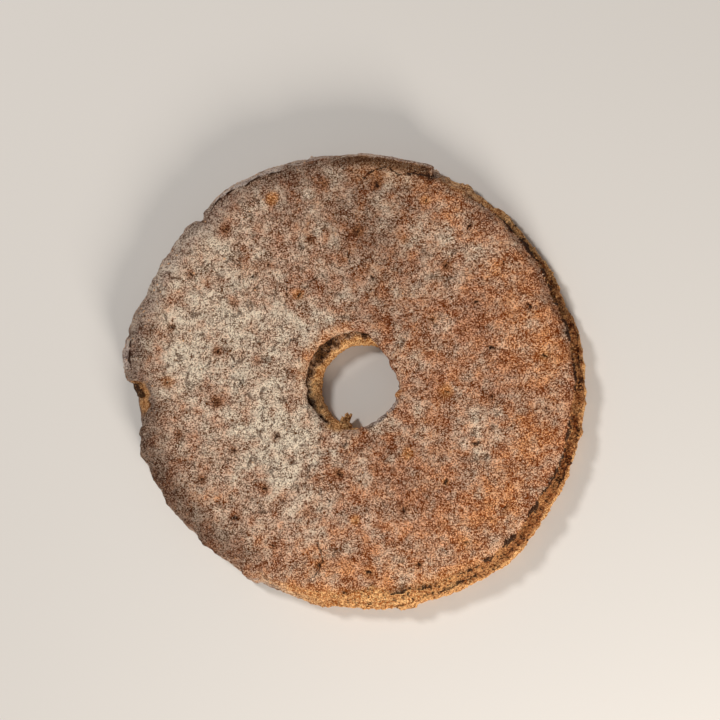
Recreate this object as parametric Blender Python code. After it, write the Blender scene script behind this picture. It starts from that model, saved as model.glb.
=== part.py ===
"""Rye ring bread: a flat loaf with a hole, docked and floured on top, its side split round the right."""

import math
import random

import bmesh
import bpy
from mathutils import Matrix, Vector, noise

MM = 0.001

# Driving sizes of the ring, in millimetres
LIP_RADIUS = 129.2  # mean radius of the bottom crust's lip, the widest line
TOP_HEIGHT = 21.4  # mean height of the docked face
TURN_STEPS = 132  # steps of the section round the ring

# Outer side: foot, sloping side with the split in it, and shoulder
FOOT_RADIUS = 4.4
SPLIT_LOW, SPLIT_HIGH = 9.4, 12.6
SPLIT_DEPTH = 5.5
SHOULDER_ACROSS, SHOULDER_DOWN = 10.5, 7.0
LEAN = 4.5  # how far the shoulder's foot stands back from the lip
SIDE_LUMPS, SIDE_LUMP_CELL = 0.9, 4.0
SIDE_START_HEIGHT = 7.4  # first point of the side over the foot
SPLIT_EDGE = 0.8  # height of each of the split's sloping edges
SHOULDER_START = 3  # degrees over level where the shoulder's curve starts
SHOULDER_WIDTH = 18.0  # the outer stretch of the section that follows the side
ARC_STEPS = 3  # steps of each rounded corner of the section

# Radii of the section's points between the corners, on the underside and on the docked face
UNDERSIDE_RADII = (60.0, 95.0)
FACE_RADII = (100.0, 86.0, 72.0, 58.0, 44.0)

# Hole: its wall leans, so the lip and the rim have their own middles
HOLE_RADIUS = 23.7
HOLE_CENTRE = (8.5, -6.1)
RIM_RADIUS = 27.4
RIM_CENTRE = (6.7, -3.9)
RIM_ROUND = 4.2
RIM_WIDTH = 8.0  # the inner stretch of the section that follows the hole
LEAN_HEIGHTS = (5.0, 17.0)  # between them the wall runs over from the lip's middle to the rim's
HOLE_FOOT_BEVEL = 2.6
RIM_WALL = ((0.5, 14.6), (0.2, 11.8))  # wall points as (past the rim's radius, height)
LIP_WALL = ((2.0, 9.8), (0.4, 8.0), (0.0, 5.0), (0.6, 1.8))  # as (past the hole's radius, height)
CREVICE_DEPTH = 3.6
CREVICE_BAND = (11.0, 16.0)
CRUMB_CELL = 16.0  # width in degrees of the lumps of open crumb in the crevice

# Outline of the lip: slow swings as (waves round the ring, size, direction of the peak in degrees)
OUTLINE_WAVES = ((1, 2.1, -27.0), (2, 4.3, -34.0), (3, 0.7, -32.0))

# Uneven places of the whole side: (direction in degrees, half width in degrees, millimetres outwards)
TORN_LUG = (170.5, 10.0, 5.4)
WORN_UNDER_LUG = (189.0, 8.0, -2.6)
LOW_LEFT_BUMP = (198.5, 3.2, 2.2)
NICK_TOP_LEFT = (132.8, 2.2, -3.2)
EDGE_BEFORE_NICK = (123.0, 5.0, 1.2)
UNDER_FLAP = (86.0, 15.0, -2.4)
BROKEN_STEP = (61.0, 3.6, -1.6)
TORN_TAG = (56.0, 1.8, 1.6)
UPPER_RIGHT_DIP = (26.0, 12.0, -1.1)
LOW_LEFT_SWELL = (216.0, 16.0, 1.0)
LOW_RIGHT_SWELL = (312.0, 9.0, 1.0)
SIDE_PLACES = (
    TORN_LUG,
    WORN_UNDER_LUG,
    LOW_LEFT_BUMP,
    NICK_TOP_LEFT,
    EDGE_BEFORE_NICK,
    UNDER_FLAP,
    BROKEN_STEP,
    TORN_TAG,
    UPPER_RIGHT_DIP,
    LOW_LEFT_SWELL,
    LOW_RIGHT_SWELL,
)

# Places of the top crust's edge alone, which overhangs the side or is broken back from it
FLAP = (82.0, 16.0, 4.8)
LEFT_OVERHANG = (148.0, 11.0, 1.0)
BROKEN_CHIP = (184.5, 4.4, -5.0)
LOW_LEFT_OVERHANG = (224.0, 33.0, 1.9)
CRUST_PLACES = (FLAP, LEFT_OVERHANG, BROKEN_CHIP, LOW_LEFT_OVERHANG)
FLAP_RISE = 1.1

# Where the side is split: a wide split on the right and a hairline at the lower left
SPLIT_ARC = (-14.0, 66.0)
SPLIT_CELL = 7.0  # width in degrees of the split's deeper and shallower stretches
SPLIT_LEAST = 0.45  # share of its depth that the split keeps where it is shallow
ARC_SHARPNESS = 8  # how quickly a split starts and ends along the side
HAIRLINE_ARC = (236.0, 34.0)
HAIRLINE_DEPTH = 1.6

# Places of the hole: crumb standing in it from below, a chip on its rim and two fuller stretches of rim
HOLE_TAG = (247.0, 8.0, -8.0)
TAG_BAND = (3.0, 12.5)
RIM_CHIP = (343.0, 5.0, -1.8)
RIM_SWELL = (32.0, 34.0, -4.2)
RIM_SWELL_BELOW = (300.0, 36.0, -1.6)
RIM_PLACES = (RIM_CHIP, RIM_SWELL, RIM_SWELL_BELOW)
RIM_HEIGHTS = (10.0, 15.0)  # the rim's places fade in between these heights

# Slow swells of the docked face as (wavelength, height)
FACE_SWELLS = ((46.0, 1.5), (19.0, 0.7))
SWELL_LAYER = 3.1  # slice of the noise that the swells are read from
FACE_FADE = 2.0  # the swells reach their full height this far under the face
FLAP_REACH = 8.0  # how far inwards from the shoulder the flap's rise fades out

# Dock holes in three rings: radius, count, first direction, drift along the ring, its peak, and radius sway
DOCK_CENTRE = (6.4, -0.4)
INNER_DOCKS = (54.5, 8, 35.0, 3.0, 235.0, 0.0)
MIDDLE_DOCKS = (79.5, 18, 9.5, 2.5, 270.0, 0.0)
OUTER_DOCKS = (107.5, 23, 6.5, 3.5, 230.0, 4.5)
DOCK_RINGS = (INNER_DOCKS, MIDDLE_DOCKS, OUTER_DOCKS)
DOCK_SWAY_PEAK = 138.0
DOCK_MOUTH = (1.1, 2.2)
DOCK_DEPTH = (2.0, 5.5)
DOCK_POINT = 0.35  # share of its mouth that a dock hole keeps at its end
DOCK_SIDES = 6
DOCK_RISE = 1.5  # the cutter stands this far over the face
DOCK_SEED = 11

CRUST_COLOUR = (0.235, 0.135, 0.085, 1.0)
CRUST_ROUGHNESS = 0.9
SHARP_ANGLE = 50.0


def clear_scene():
    for item in list(bpy.data.objects):
        bpy.data.objects.remove(item, do_unlink=True)


def smooth_step(value, low, high):
    """0 below low, 1 above high, and a smooth rise between them."""
    share = min(max((value - low) / (high - low), 0.0), 1.0)
    return share * share * (3.0 - 2.0 * share)


def heading(degrees):
    return Vector((math.cos(math.radians(degrees)), math.sin(math.radians(degrees))))


def bump(degrees, centre, half_width, sharpness=4):
    """1 in the middle of a place, falling to nothing past its half width."""
    gap = (degrees - centre + 180.0) % 360.0 - 180.0
    return math.exp(-abs(gap / half_width) ** sharpness)


def sum_places(places, degrees):
    return sum(outwards * bump(degrees, centre, half) for centre, half, outwards in places)


def ring_noise(degrees, cell, layer):
    """Noise that runs smoothly round the ring, its lumps about as many degrees wide as the cell."""
    place = heading(degrees) * math.degrees(1.0) / cell
    return noise.noise(Vector((place.x, place.y, layer)))


def lip_radius(degrees):
    """Radius of the bottom crust's lip in a direction from the middle."""
    radius = LIP_RADIUS + sum_places(SIDE_PLACES, degrees)
    for waves, size, peak in OUTLINE_WAVES:
        radius += size * math.cos(math.radians(waves * (degrees - peak)))
    return radius


def ellipse_points(centre, across, up, start, end):
    """Points of an elliptic arc in the section, start and end in degrees."""
    points = []
    for step in range(ARC_STEPS + 1):
        angle = math.radians(start + (end - start) * step / ARC_STEPS)
        points.append((centre[0] + across * math.cos(angle), centre[1] + up * math.sin(angle)))
    return points


def section():
    """The ring's closed section as (radius, height), from the hole's foot out and back over the top."""
    lip, hole, rim = LIP_RADIUS, HOLE_RADIUS, RIM_RADIUS
    underside = [(radius, 0.0) for radius in (hole + HOLE_FOOT_BEVEL, *UNDERSIDE_RADII)]
    foot = ellipse_points((lip - FOOT_RADIUS, FOOT_RADIUS), FOOT_RADIUS, FOOT_RADIUS, -90, 0)
    shoulder_foot = TOP_HEIGHT - SHOULDER_DOWN
    split = (SPLIT_LOW, SPLIT_LOW + SPLIT_EDGE, SPLIT_HIGH - SPLIT_EDGE, SPLIT_HIGH)
    side_heights = (SIDE_START_HEIGHT, *split)
    side = [(lip - LEAN * smooth_step(z, FOOT_RADIUS, shoulder_foot), z) for z in side_heights]
    shoulder_centre = (lip - LEAN - SHOULDER_ACROSS, shoulder_foot)
    shoulder = ellipse_points(shoulder_centre, SHOULDER_ACROSS, SHOULDER_DOWN, SHOULDER_START, 90)
    face = [(radius, TOP_HEIGHT) for radius in FACE_RADII]
    rim_centre = (rim + RIM_ROUND, TOP_HEIGHT - RIM_ROUND)
    hole_rim = ellipse_points(rim_centre, RIM_ROUND, RIM_ROUND, 90, 180)
    rim_wall = [(rim + past, height) for past, height in RIM_WALL]
    lip_wall = [(hole + past, height) for past, height in LIP_WALL]
    return underside + foot + side + shoulder + face + hole_rim + rim_wall + lip_wall


def spun_ring():
    """The section spun once round the upright axis."""
    ring = bmesh.new()
    corners = [ring.verts.new((radius, 0.0, height)) for radius, height in section()]
    edges = [ring.edges.new(pair) for pair in zip(corners, corners[1:] + corners[:1])]
    bmesh.ops.spin(
        ring,
        geom=corners + edges,
        axis=(0.0, 0.0, 1.0),
        cent=(0.0, 0.0, 0.0),
        angle=math.tau,
        steps=TURN_STEPS,
        use_merge=True,
    )
    return ring


def face_height(place):
    """Height of the face's swells over its mean height."""
    rise = 0.0
    for layer, (length, height) in enumerate(FACE_SWELLS):
        seen = Vector((place.x / length, place.y / length, SWELL_LAYER + layer))
        rise += height * noise.noise(seen)
    return rise


def in_band(height, low, high, soft):
    """1 between two heights, with soft ends."""
    rising = smooth_step(height, low - soft, low + soft)
    return rising * (1.0 - smooth_step(height, high - soft, high + soft))


def side_shift(degrees, height):
    """Millimetres outwards that the outer side moves at one place."""
    crumb = SPLIT_LEAST + 0.5 + 0.5 * ring_noise(degrees, SPLIT_CELL, 1.7)
    split = SPLIT_DEPTH * bump(degrees, *SPLIT_ARC, ARC_SHARPNESS) * crumb
    split += HAIRLINE_DEPTH * bump(degrees, *HAIRLINE_ARC, ARC_SHARPNESS)
    edge = SPLIT_EDGE / 2
    shift = -split * in_band(height, SPLIT_LOW + edge, SPLIT_HIGH - edge, edge)
    crust_share = smooth_step(height, SPLIT_LOW, SPLIT_HIGH + FACE_FADE)
    shift += sum_places(CRUST_PLACES, degrees) * crust_share
    return shift + SIDE_LUMPS * ring_noise(degrees, SIDE_LUMP_CELL, height / 5.0)


def hole_shift(degrees, height):
    """Millimetres away from the hole's middle that its wall moves at one place."""
    crumb = 0.5 + 0.5 * ring_noise(degrees, CRUMB_CELL, 9.2)
    shift = CREVICE_DEPTH * crumb * in_band(height, *CREVICE_BAND, 1.0)
    shift += sum_places((HOLE_TAG,), degrees) * in_band(height, *TAG_BAND, 1.5)
    return shift + sum_places(RIM_PLACES, degrees) * smooth_step(height, *RIM_HEIGHTS)


def shape_ring(ring):
    """Moves the round ring's points to the loaf's uneven outline, split side and swelling face."""
    hole_middle, rim_middle = Vector(HOLE_CENTRE), Vector(RIM_CENTRE)
    side_start = LIP_RADIUS - SHOULDER_WIDTH
    for vert in ring.verts:
        radius, height = vert.co.xy.length, vert.co.z
        degrees = math.degrees(math.atan2(vert.co.y, vert.co.x))
        out = heading(degrees)
        outer = out * (radius - LIP_RADIUS + lip_radius(degrees))
        if radius > side_start:
            outer += out * side_shift(degrees, height)
        inner = hole_middle.lerp(rim_middle, smooth_step(height, *LEAN_HEIGHTS)) + out * radius
        if radius < RIM_RADIUS + RIM_WIDTH:
            inner += out * hole_shift(degrees, height)
        place = inner.lerp(outer, smooth_step(radius, RIM_RADIUS + RIM_WIDTH, side_start))
        flap_share = smooth_step(radius, side_start - FLAP_REACH, side_start)
        rise = face_height(place) + FLAP_RISE * bump(degrees, *FLAP[:2]) * flap_share
        height += rise * smooth_step(height, SPLIT_HIGH, TOP_HEIGHT - FACE_FADE)
        vert.co = (place.x, place.y, height)


def dock_places():
    """Where the docker's spikes went in: three loose rings round the hole."""
    draw = random.Random(DOCK_SEED)
    places = []
    for radius, count, first, drift, drift_peak, sway in DOCK_RINGS:
        for step in range(count):
            degrees = first + 360.0 * step / count
            degrees += drift * math.cos(math.radians(degrees - drift_peak))
            swing = sway * math.cos(math.radians(2 * (degrees - DOCK_SWAY_PEAK)))
            place = Vector(DOCK_CENTRE) + heading(degrees) * (radius + swing)
            places.append((place, draw.uniform(*DOCK_MOUTH), draw.uniform(*DOCK_DEPTH)))
    return places


def dock_cutter():
    """All the dock holes as one object of small pointed cones."""
    cones = bmesh.new()
    for place, mouth, depth in dock_places():
        top = TOP_HEIGHT + face_height(place) + DOCK_RISE
        length = depth + DOCK_RISE
        bmesh.ops.create_cone(
            cones,
            cap_ends=True,
            segments=DOCK_SIDES,
            radius1=mouth * DOCK_POINT,
            radius2=mouth * length / depth,
            depth=length,
            matrix=Matrix.Translation((place.x, place.y, top - length / 2)),
        )
    return new_object("dock_cutter", cones)


def new_object(name, form):
    """Turns a bmesh in millimetres into an object in metres."""
    bmesh.ops.scale(form, vec=(MM, MM, MM), verts=form.verts)
    bmesh.ops.recalc_face_normals(form, faces=form.faces)
    mesh = bpy.data.meshes.new(name)
    form.to_mesh(mesh)
    form.free()
    item = bpy.data.objects.new(name, mesh)
    bpy.context.scene.collection.objects.link(item)
    return item


def centre_on_origin(item):
    """Puts the middle of the mesh's box over the origin, with the underside at height zero."""
    corners = [vert.co for vert in item.data.vertices]
    low = [min(corner[axis] for corner in corners) for axis in range(3)]
    high = [max(corner[axis] for corner in corners) for axis in range(3)]
    middle = Vector(((low[0] + high[0]) / 2, (low[1] + high[1]) / 2, low[2]))
    item.data.transform(Matrix.Translation(-middle))


def cut(item, cutter):
    """Cuts one object out of another and removes the cutter."""
    boolean = item.modifiers.new("docks", "BOOLEAN")
    boolean.operation = "DIFFERENCE"
    boolean.solver = "EXACT"
    boolean.object = cutter
    graph = bpy.context.evaluated_depsgraph_get()
    finished = bpy.data.meshes.new_from_object(item.evaluated_get(graph))
    item.modifiers.clear()
    item.data = finished
    bpy.data.objects.remove(cutter, do_unlink=True)


def crust_material():
    material = bpy.data.materials.new("baked_crust")
    material.use_nodes = True
    shader = material.node_tree.nodes["Principled BSDF"]
    shader.inputs["Base Color"].default_value = CRUST_COLOUR
    shader.inputs["Roughness"].default_value = CRUST_ROUGHNESS
    return material


def make_bread():
    ring = spun_ring()
    shape_ring(ring)
    bread = new_object("bread", ring)
    cut(bread, dock_cutter())
    centre_on_origin(bread)
    bread.data.materials.clear()
    bread.data.materials.append(crust_material())
    bread.data.shade_smooth()
    bread.data.set_sharp_from_angle(angle=math.radians(SHARP_ANGLE))
    return bread


clear_scene()
make_bread()
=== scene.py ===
"""Rye ring bread lying flat on a pale floor: floury docked crust, split side, open crumb in the hole."""

import math
import random

import bmesh
import bpy
import numpy as np
from mathutils import Matrix, Vector, noise
from mathutils.kdtree import KDTree


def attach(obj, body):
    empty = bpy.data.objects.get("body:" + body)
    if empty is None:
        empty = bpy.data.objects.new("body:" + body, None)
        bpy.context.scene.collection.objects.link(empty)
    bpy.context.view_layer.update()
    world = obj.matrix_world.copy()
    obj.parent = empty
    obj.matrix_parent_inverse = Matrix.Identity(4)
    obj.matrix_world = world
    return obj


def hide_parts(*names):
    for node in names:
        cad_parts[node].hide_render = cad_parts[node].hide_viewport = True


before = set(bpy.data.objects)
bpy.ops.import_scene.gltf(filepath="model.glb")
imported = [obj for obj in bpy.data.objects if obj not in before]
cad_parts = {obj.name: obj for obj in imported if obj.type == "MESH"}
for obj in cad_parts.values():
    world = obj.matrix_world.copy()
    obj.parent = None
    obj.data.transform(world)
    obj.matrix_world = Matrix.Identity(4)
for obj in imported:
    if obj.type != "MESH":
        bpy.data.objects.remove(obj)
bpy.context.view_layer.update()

MM = 0.001

# The loaf's form, in millimetres: the same sizes as the solid it stands for
LIP_RADIUS = 129.2
TOP_HEIGHT = 21.4
FOOT_RADIUS = 4.4
SPLIT_LOW, SPLIT_HIGH = 9.4, 12.6
SPLIT_DEPTH = 5.5
SHOULDER_ACROSS, SHOULDER_DOWN = 10.5, 7.0
LEAN = 4.5
SIDE_LUMPS, SIDE_LUMP_CELL = 0.9, 4.0
SPLIT_EDGE = 0.8
SHOULDER_WIDTH = 18.0
SHOULDER_SQUARE = 0.42  # power by which the shoulder is made squarer where the side is split
SIDE_FADE = 9.0
HOLE_RADIUS = 23.7
HOLE_CENTRE = (8.5, -6.1)
RIM_RADIUS = 27.4
RIM_CENTRE = (6.7, -3.9)
RIM_ROUND = 4.2
RIM_WIDTH = 8.0
LEAN_HEIGHTS = (5.0, 17.0)
HOLE_FOOT_BEVEL = 2.6
RIM_WALL = ((0.5, 14.6), (0.2, 11.8))
LIP_WALL = ((2.0, 9.8), (0.4, 8.0), (0.0, 5.0), (0.6, 1.8))
CREVICE_DEPTH = 3.6
CREVICE_BAND = (11.0, 16.0)
CRUMB_CELL = 16.0
OUTLINE_WAVES = ((1, 2.1, -27.0), (2, 4.3, -34.0), (3, 0.7, -32.0))
SIDE_PLACES = (
    (170.5, 10.0, 5.4),
    (189.0, 8.0, -2.6),
    (198.5, 3.2, 2.2),
    (132.9, 1.7, -2.9),
    (123.0, 5.0, 1.2),
    (86.0, 15.0, -2.4),
    (61.0, 3.6, -1.6),
    (56.0, 1.8, 1.6),
    (26.0, 12.0, -1.1),
    (216.0, 16.0, 1.0),
    (312.0, 9.0, 1.0),
)
FLAP_OUT = 4.8
# Stretches of the edge as (starts, full, still full, ends)
FLAP_STEPS = (64.3, 65.3, 87.0, 99.0)
CHIP_STEPS = (180.0, 180.6, 187.6, 190.6)
CHIP_DEPTH = 4.4
CRUST_PLACES = ((148.0, 11.0, 1.0), (224.0, 33.0, 1.9))
SMOOTH_STRIP = (117.5, 12.0)  # direction and half width of the smoothest stretch
# Smooth floury stretches of the shoulder: (direction, half width, height they reach, amount, crease)
FLOURY_STRIPS = (
    (117.5, 11.5, 19.7, 1.0, 1.0),
    (98.5, 6.0, 18.2, 0.7, 0.3),
    (77.0, 12.0, 18.5, 1.0, 0.0),
    (173.3, 4.6, 20.5, 1.0, 0.9),
    (204.0, 4.0, 17.2, 0.8, 0.5),
    (233.0, 9.0, 16.4, 0.6, 0.5),
)
# Finer steps of the outline, as (direction, half width, outwards), with steep ends
EDGE_STEPS = (
    (71.5, 3.5, -0.5),
    (54.0, 8.0, -1.1),
    (60.3, 2.8, 1.6),
    (17.0, 3.0, -0.9),
    (26.5, 2.5, 0.9),
    (88.5, 3.0, -0.9),
    (96.5, 3.4, 1.2),
    (119.2, 9.6, 0.8),
    (136.2, 2.0, 0.9),
    (155.5, 3.6, 0.4),
    (161.5, 3.2, 0.8),
    (172.3, 3.0, 1.6),
    (177.2, 2.6, 1.1),
    (182.8, 2.6, -1.0),
    (194.0, 1.3, 1.8),
    (226.0, 3.0, -0.9),
    (244.0, 2.0, 1.8),
    (262.0, 4.0, 1.2),
    (285.0, 2.4, 2.0),
    (331.0, 15.0, -1.3),
    (349.0, 3.0, -1.2),
)
FLAP_RISE = 0.9
FLAP_REACH = 8.0
SPLIT_ARC = (-14.0, 66.0)
SPLIT_CELL = 7.0
SPLIT_LEAST = 0.45
ARC_SHARPNESS = 8
HAIRLINE_ARC = (236.0, 34.0)
HAIRLINE_DEPTH = 1.6
HOLE_TAGS = ((247.5, 7.2, -3.4), (246.4, 3.6, -3.4))
TAG_BAND = (3.0, 12.5)
RIM_PLACES = ((343.0, 5.0, -1.8), (32.0, 34.0, -4.2), (300.0, 36.0, -1.6))
RIM_HEIGHTS = (10.0, 15.0)
FACE_SWELLS = ((46.0, 1.5), (19.0, 0.7))
SWELL_LAYER = 3.1
FACE_FADE = 2.0
DOCK_CENTRE = (6.4, -0.4)
DOCK_RINGS = (
    (54.5, 8, 35.0, 3.0, 235.0, 0.0),
    (79.5, 18, 9.5, 2.5, 270.0, 0.0),
    (107.5, 23, 6.5, 3.5, 230.0, 4.5),
)
DOCK_SWAY_PEAK = 138.0
DOCK_MOUTH = (1.1, 2.2)
DOCK_DEPTH = (2.0, 5.5)
DOCK_SEED = 11
BOX_MIDDLE = (-0.558, -1.573)  # middle of the outline's box before it is moved over the origin

# Fineness of the mesh
TURN_STEPS = 330  # steps round the hole; the outer part gets twice as many
DOUBLE_PAST = 60.0
CRUST_STEP = 0.98  # spacing of the section's points on the face
SIDE_STEP = 0.82
UNDER_STEP = 5.5

# Lumps of the crust as (size, height), on the face and on the torn side
CRUST_LUMPS = ((9.0, 0.55), (4.4, 0.8), (2.1, 0.5))
CRUMB_LUMPS = ((5.0, 0.6), (2.2, 0.5), (1.3, 0.3))

# Hairline cracks in the face, each a run of places, with its half width and depth
CRACKS = (
    (
        ((10.1, 110.8), (14.1, 108.3), (19.3, 112.1), (28.3, 113.7), (30.1, 111.5), (36.0, 108.5)),
        0.65,
        2.0,
    ),
    (((36.0, 108.5), (38.0, 109.6), (40.9, 109.1), (46.3, 108.3), (52.5, 107.2)), 0.95, 2.6),
    (((1.0, 116.0), (10.1, 110.8)), 0.5, 1.2),
    (((-25.2, 44.1), (-20.0, 48.9), (-12.4, 54.8)), 0.5, 0.8),
    (((-21.2, 72.6), (-23.0, 65.4)), 0.4, 0.7),
    (((-26.9, 22.3), (-28.6, 16.8), (-30.9, 11.3)), 0.5, 0.8),
    (((-52.6, 14.7), (-49.7, 16.9), (-46.2, 20.1)), 0.4, 0.8),
    (((-56.0, -0.9), (-58.4, -6.5), (-60.7, -11.5)), 0.5, 0.9),
    (((-13.2, -90.8), (-10.3, -97.2), (-9.7, -104.3), (-15.4, -112.4)), 0.7, 1.3),
    (((-55.5, -72.7), (-48.4, -76.0), (-39.7, -76.0)), 0.45, 0.8),
    (((-62.0, -63.2), (-62.5, -71.5)), 0.4, 0.8),
    (((-65.2, 26.4), (-63.3, 20.7)), 0.4, 0.7),
    (((100.1, -13.9), (100.0, -19.3)), 0.4, 0.7),
)

# Short strokes in the floury half of the face
STROKES = 46
STROKES_ACROSS, STROKES_ALONG = (-92.0, 6.0), (-72.0, 84.0)
STROKES_REACH = (34.0, 96.0)  # nearest and farthest from the rim's middle
STROKE_SEED = 5

# Flour on the face as (place, reach, amount)
FLOUR_PATCHES = (
    ((-90.0, 20.0), 28.0, 0.34),
    ((20.0, -26.0), 5.5, 0.5),
    ((43.6, -21.0), 3.0, 0.6),
    ((-60.0, 34.0), 12.0, 0.3),
    ((-28.0, -36.0), 25.0, 0.50),
    ((-48.0, 6.0), 38.0, 0.30),
    ((-26.0, 24.0), 18.0, 0.20),
    ((-62.0, -44.0), 26.0, 0.12),
    ((-82.0, 62.0), 24.0, 0.30),
    ((-24.0, -69.0), 26.0, 0.22),
    ((57.0, 74.0), 22.0, 0.24),
    ((78.0, -32.0), 20.0, 0.40),
    ((40.0, -101.0), 15.0, 0.30),
    ((83.0, 59.0), 9.0, 0.24),
    ((52.0, 50.0), 24.0, 0.10),
    ((-1.0, 114.0), 6.5, 0.45),
)

# Redder spots of the face as (place, reach, amount): partly more baked crust, partly painted warm light on
# the right half
BAKED_AND_WARM_LIT_PATCHES = (
    ((93.0, 56.0), 9.0, 0.8),
    ((114.0, 7.0), 13.0, 0.8),
    ((105.0, -38.0), 16.0, 0.7),
    ((89.0, -70.0), 15.0, 0.9),
    ((66.0, -88.0), 15.0, 0.6),
    ((34.0, -113.0), 18.0, 0.8),
    ((-12.0, -108.0), 16.0, 0.8),
    ((63.0, 93.0), 9.0, 0.6),
    ((105.0, 27.0), 14.0, 0.7),
    ((23.0, -15.0), 9.0, 0.2),
    ((-72.0, -68.0), 9.0, 0.35),
    ((-44.0, -93.0), 8.0, 0.45),
    ((-103.0, 50.0), 9.0, 0.35),
    ((-52.0, 60.0), 9.0, 0.25),
)

# Darker spots of the face as (place, reach, amount): partly darker crust, partly painted shade falling off
# towards the top and left edges
DARK_PATCHES = (
    ((-128.0, -2.0), 22.0, 0.65),
    ((-122.0, 40.0), 18.0, 0.30),
    ((-112.0, -50.0), 16.0, 0.6),
    ((-92.0, 88.0), 14.0, 0.25),
    ((-104.0, -12.0), 12.0, 0.30),
    ((-104.0, -36.0), 12.0, 0.40),
    ((-82.0, -55.0), 12.0, 0.45),
    ((-60.0, -84.0), 15.0, 0.5),
    ((-84.0, -78.0), 14.0, 0.5),
    ((-100.0, 72.0), 12.0, 0.25),
    ((-58.0, 70.0), 14.0, 0.30),
    ((-34.0, 104.0), 22.0, 0.55),
    ((24.0, 108.0), 17.0, 0.55),
    ((46.0, 102.0), 14.0, 0.3),
    ((-118.0, 56.0), 12.0, 0.35),
    ((-76.0, 86.0), 12.0, 0.25),
    ((14.0, 96.0), 30.0, 0.55),
    ((22.0, 62.0), 28.0, 0.55),
    ((30.0, 30.0), 18.0, 0.4),
    ((26.0, -38.0), 24.0, 0.42),
    ((-122.0, 20.0), 16.0, 0.45),
    ((-6.0, 88.0), 26.0, 0.2),
)

# The split side: where it runs, and the height at which the top crust ends there in each direction
GAP_ARC = (-25.0, 81.0)
GAP_HEIGHTS = (
    (-100.0, 20.2),
    (-80.0, 20.7),
    (-68.0, 19.2),
    (-45.0, 17.9),
    (-20.0, 17.0),
    (5.0, 15.9),
    (30.0, 13.9),
    (60.0, 12.4),
)

# Where the gaps under the top crust are widest: (direction, half width, millimetres wider)
WIDE_GAPS = (
    (40.0, 2.0, 1.4),
    (32.0, 2.2, 2.6),
    (25.0, 1.2, 0.9),
    (16.5, 1.4, 0.8),
    (7.5, 1.6, 1.1),
    (-1.0, 2.4, 0.9),
    (-16.0, 1.8, 0.9),
    (-26.0, 2.0, 1.0),
    (-35.0, 1.6, 0.9),
    (-44.5, 2.2, 1.1),
    (-51.0, 1.6, 0.9),
    (-68.5, 1.4, 0.9),
    (-75.0, 1.6, 0.5),
    (-81.0, 1.6, 0.4),
    (-88.0, 1.8, 0.5),
    (-95.0, 1.6, 0.3),
)

# What is noted at each place of the crust, from 0 to 1, and which of it the grains there take over
CARRIED = ("flour", "baked_and_warm_lit", "dark", "crumb", "crevice", "lip", "side", "gold", "halo", "edge")
REGIONS = (*CARRIED, "pit_shade", "under")

# Grains on the crust: how many of each kind and their least and greatest half width in millimetres
FLOUR_COUNT, FLOUR_SIZES = 24000, (0.24, 0.42)
BRAN_COUNT, BRAN_SIZES = 16000, (0.24, 0.46)
CRUMB_COUNT, CRUMB_SIZES = 3000, (0.4, 0.95)
GRAIN_ROW = 100  # grains in the row that is copied whole; each count is a multiple of it

# The view: the point looked at, how far the camera stands to the right and below, and how far away
TARGET = Vector((0.0119, 0.0090, 0.020))
CAMERA_SIDE, CAMERA_BELOW, CAMERA_AWAY = 15.5, 6.0, 0.9
SENSOR_WIDTH, LENS = 36.0, 82.0
FLOOR_REACH, FLOOR_DROP = 4.0, 0.0004


def smooth_step(value, low, high):
    """0 below low, 1 above high, and a smooth rise between them."""
    share = min(max((value - low) / (high - low), 0.0), 1.0)
    return share * share * (3.0 - 2.0 * share)


def heading(degrees):
    return Vector((math.cos(math.radians(degrees)), math.sin(math.radians(degrees))))


def bump(degrees, centre, half_width, sharpness=4):
    """1 in the middle of a place, falling to nothing past its half width."""
    gap = (degrees - centre + 180.0) % 360.0 - 180.0
    return math.exp(-abs(gap / half_width) ** sharpness)


def sum_places(places, degrees):
    return sum(outwards * bump(degrees, centre, half) for centre, half, outwards in places)


def ring_noise(degrees, cell, layer):
    """Noise that runs smoothly round the ring, its lumps about as many degrees wide as the cell."""
    place = heading(degrees) * math.degrees(1.0) / cell
    return noise.noise(Vector((place.x, place.y, layer)))


def lip_radius(degrees):
    """Radius of the bottom crust's lip in a direction from the middle."""
    radius = LIP_RADIUS + sum_places(SIDE_PLACES, degrees)
    for waves, size, peak in OUTLINE_WAVES:
        radius += size * math.cos(math.radians(waves * (degrees - peak)))
    return radius


def in_band(height, low, high, soft):
    """1 between two heights, with soft ends."""
    rising = smooth_step(height, low - soft, low + soft)
    return rising * (1.0 - smooth_step(height, high - soft, high + soft))


def walk(points, step):
    """Places along a run of points, evenly spaced, the first and the last kept."""
    lengths = [(Vector(b) - Vector(a)).length for a, b in zip(points, points[1:])]
    total = sum(lengths)
    count = max(1, round(total / step))
    places = []
    for number in range(count + 1):
        left = total * number / count
        for (a, b), length in zip(zip(points, points[1:]), lengths):
            if left <= length + 1e-9:
                places.append(Vector(a).lerp(Vector(b), left / length))
                break
            left -= length
    return places


def arc(centre, across, up, start, end, step):
    """Points of an elliptic arc in the section, start and end in degrees."""
    count = max(2, round(math.radians(abs(end - start)) * (across + up) / 2 / step))
    turned = [math.radians(start + (end - start) * number / count) for number in range(count + 1)]
    return [(centre[0] + across * math.cos(a), centre[1] + up * math.sin(a)) for a in turned]


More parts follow.
